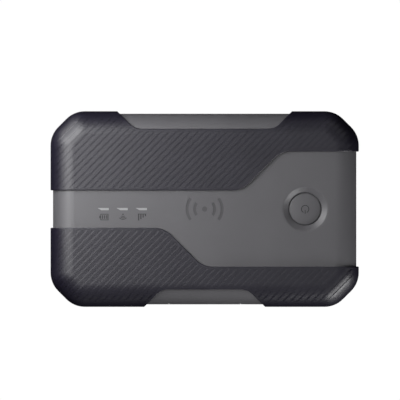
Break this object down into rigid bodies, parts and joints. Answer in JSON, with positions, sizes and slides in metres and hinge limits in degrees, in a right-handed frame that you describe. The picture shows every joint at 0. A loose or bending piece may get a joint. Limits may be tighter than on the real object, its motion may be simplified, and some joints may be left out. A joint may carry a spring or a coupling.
{
  "type": "mobile hotspot",
  "caption": "Rugged battery-powered mobile hotspot: flat rounded case with ribbed rubber bumpers, round power button, status lights, sealed port door and SIM tray.",
  "frame": {"origin": "middle of the rear face's rest plane, under the body's centre", "axes": "+X along the length towards the power button's end, +Y across the width towards the SIM tray's side, +Z out of the front face"},
  "size_m": [0.13, 0.0826, 0.024],
  "materials": {
    "case_plastic": "fine moulded texture, satin",
    "bumper_rubber": "moulded rubber, satin",
    "seal_rubber": "matt",
    "silicone": "matt",
    "screw_steel": "blackened, satin",
    "stamped_steel": "tinned, satin",
    "brass": "turned",
    "gold_contact": "plated",
    "light_guide": "milky clear",
    "led": "gloss",
    "board": "solder mask",
    "chip": "matt",
    "frame_alloy": "die cast, matt",
    "sheet_alloy": "rolled",
    "thermal_pad": "soft",
    "cell_wrap": "film",
    "foam": "open foam",
    "flex_film": "polyimide film",
    "nylon": "moulded",
    "switch_black": "moulded",
    "label": "blank, matt"
  },
  "bodies": {
    "case": {"front_shell": "case_plastic", "rear_shell": "case_plastic", "front_bumper_upper": "bumper_rubber", "front_bumper_lower": "bumper_rubber", "rear_bumper_upper": "bumper_rubber", "rear_bumper_lower": "bumper_rubber", "case_gasket": "seal_rubber", "rating_label": "label", "case_screws": "screw_steel", "screw_seals": "seal_rubber", "screw_inserts": "brass", "board_screws": "stamped_steel", "button_seal_ring": "silicone", "button_retainer": "nylon", "power_switch_body": "stamped_steel", "led_light_guide": "light_guide", "light_guide_seal": "foam", "status_leds": "led", "mid_frame": "frame_alloy", "main_board": "board", "modem_shield_can": "stamped_steel", "wifi_shield_can": "stamped_steel", "power_shield_can": "stamped_steel", "modem_chips": "chip", "wifi_chips": "chip", "power_chips": "chip", "thermal_pad": "thermal_pad", "heat_spreader": "sheet_alloy", "battery_cell": "cell_wrap", "battery_protection_board": "board", "battery_adhesive": "seal_rubber", "battery_foam": "foam", "battery_flex": "flex_film", "battery_plug": "nylon", "battery_socket": "nylon", "antenna_carrier_left": "nylon", "antenna_carrier_right": "nylon", "antenna_flex_left": "flex_film", "antenna_flex_right": "flex_film", "wifi_antenna_upper": "flex_film", "wifi_antenna_lower": "flex_film", "antenna_springs": "gold_contact", "usb_c_shell": "stamped_steel", "usb_c_tongue": "switch_black", "usb_c_contacts": "gold_contact", "usb_c_seal": "silicone", "reset_switch_body": "switch_black", "hinge_pin": "screw_steel", "sim_socket": "stamped_steel"},
    "power_button": {"power_button": "case_plastic"},
    "power_plunger": {"power_switch_plunger": "switch_black"},
    "port_door": {"port_door": "case_plastic", "port_door_gasket": "silicone"},
    "sim_tray": {"sim_tray": "case_plastic", "sim_tray_seal": "seal_rubber"},
    "reset_plunger": {"reset_plunger": "switch_black"}
  },
  "joints": [
    {"name": "power_button_press", "type": "slide", "parent": "case", "child": "power_button", "axis": [0, 0, -1], "range_m": [0, 0.0005], "stiffness_N_per_m": 500, "springref_m": -0.002, "deforming": ["button_seal_ring"]},
    {"name": "power_plunger_press", "type": "slide", "parent": "case", "child": "power_plunger", "axis": [0, 0, -1], "range_m": [0, 0.0005]},
    {"name": "port_door_swing", "type": "hinge", "parent": "case", "child": "port_door", "pos_m": [0, -0.03875, 0.008], "axis": [1, 0, 0], "range_deg": [0, 100]},
    {"name": "sim_tray_slide", "type": "slide", "parent": "case", "child": "sim_tray", "axis": [0, 1, 0], "range_m": [0, 0.018]},
    {"name": "reset_plunger_press", "type": "slide", "parent": "case", "child": "reset_plunger", "axis": [0, 1, 0], "range_m": [0, 0.00025], "stiffness_N_per_m": 600, "springref_m": -0.001}
  ],
  "couplings": [
    {"joint": "power_plunger_press", "follows": "power_button_press", "ratio": 1}
  ]
}
